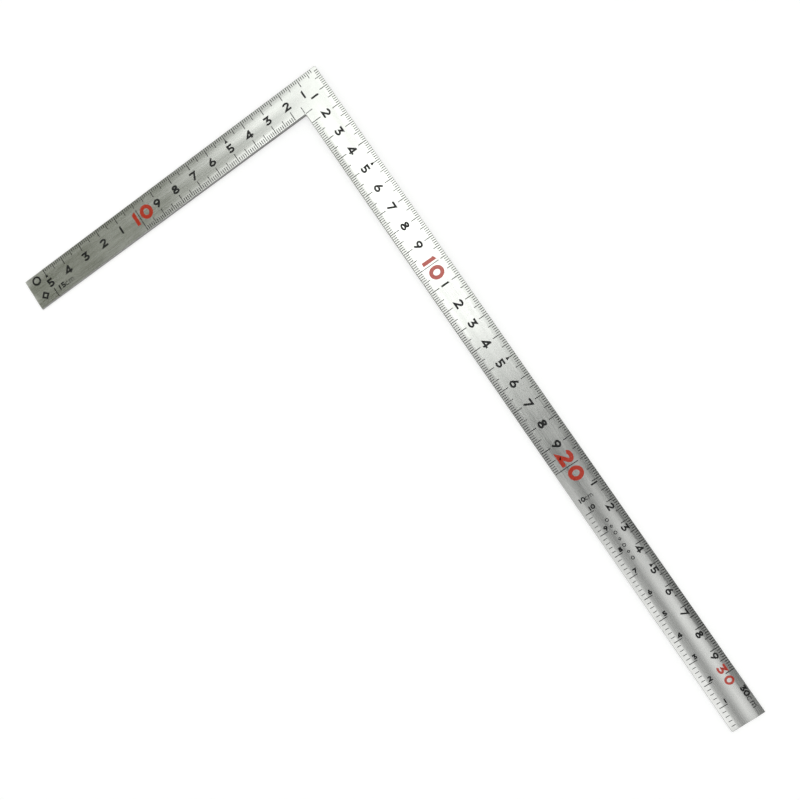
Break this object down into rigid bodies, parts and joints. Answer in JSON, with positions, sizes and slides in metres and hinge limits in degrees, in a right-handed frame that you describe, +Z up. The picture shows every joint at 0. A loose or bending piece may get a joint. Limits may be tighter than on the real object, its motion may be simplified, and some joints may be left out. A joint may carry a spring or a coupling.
{
  "type": "carpenter's square",
  "caption": "Flat L-shaped stainless steel square with two hollow-ground graduated arms at a right angle, for measuring, squaring and cutting along.",
  "frame": {"origin": "middle of the square's box, on the surface it lies on", "axes": "+Y runs along the long arm from the heel to its end, +X along the short arm, +Z up out of the graduated face"},
  "size_m": [0.16, 0.32, 0.0025],
  "materials": {
    "steel": "satin stainless steel, fine grain along the arms",
    "weld": "ground flush weld",
    "black_fill": "semi-matt black paint in the graduations",
    "red_fill": "semi-matt orange-red paint in the large numerals"
  },
  "bodies": {
    "root": {"long_arm": "steel", "short_arm": "steel", "corner_weld": "weld", "long_line_10": "black_fill", "long_line_20": "black_fill", "short_line_10": "black_fill", "long_pointer_05": "black_fill", "long_pointer_15": "black_fill", "long_pointer_25": "black_fill", "short_pointer_05": "black_fill", "short_pointer_15": "black_fill", "long_figure_01": "black_fill", "long_figure_02": "black_fill", "long_figure_03": "black_fill", "long_figure_04": "black_fill", "long_figure_05": "black_fill", "long_figure_06": "black_fill", "long_figure_07": "black_fill", "long_figure_08": "black_fill", "long_figure_09": "black_fill", "long_figure_11": "black_fill", "long_figure_12": "black_fill", "long_figure_13": "black_fill", "long_figure_14": "black_fill", "long_figure_15": "black_fill", "long_figure_16": "black_fill", "long_figure_17": "black_fill", "long_figure_18": "black_fill", "long_figure_19": "black_fill", "long_figure_21": "black_fill", "long_figure_22": "black_fill", "long_figure_23": "black_fill", "long_figure_24": "black_fill", "long_figure_25": "black_fill", "long_figure_26": "black_fill", "long_figure_27": "black_fill", "long_figure_28": "black_fill", "long_figure_29": "black_fill", "short_figure_01": "black_fill", "short_figure_02": "black_fill", "short_figure_03": "black_fill", "short_figure_04": "black_fill", "short_figure_05": "black_fill", "short_figure_06": "black_fill", "short_figure_07": "black_fill", "short_figure_08": "black_fill", "short_figure_09": "black_fill", "short_figure_11": "black_fill", "short_figure_12": "black_fill", "short_figure_13": "black_fill", "short_figure_14": "black_fill", "short_figure_15": "black_fill", "long_red_10_a": "red_fill", "long_red_10_b": "red_fill", "long_red_20_a": "red_fill", "long_red_20_b": "red_fill", "short_red_10_a": "red_fill", "short_red_10_b": "red_fill", "long_red_30_a": "red_fill", "long_red_30_b": "red_fill"}
  },
  "joints": []
}
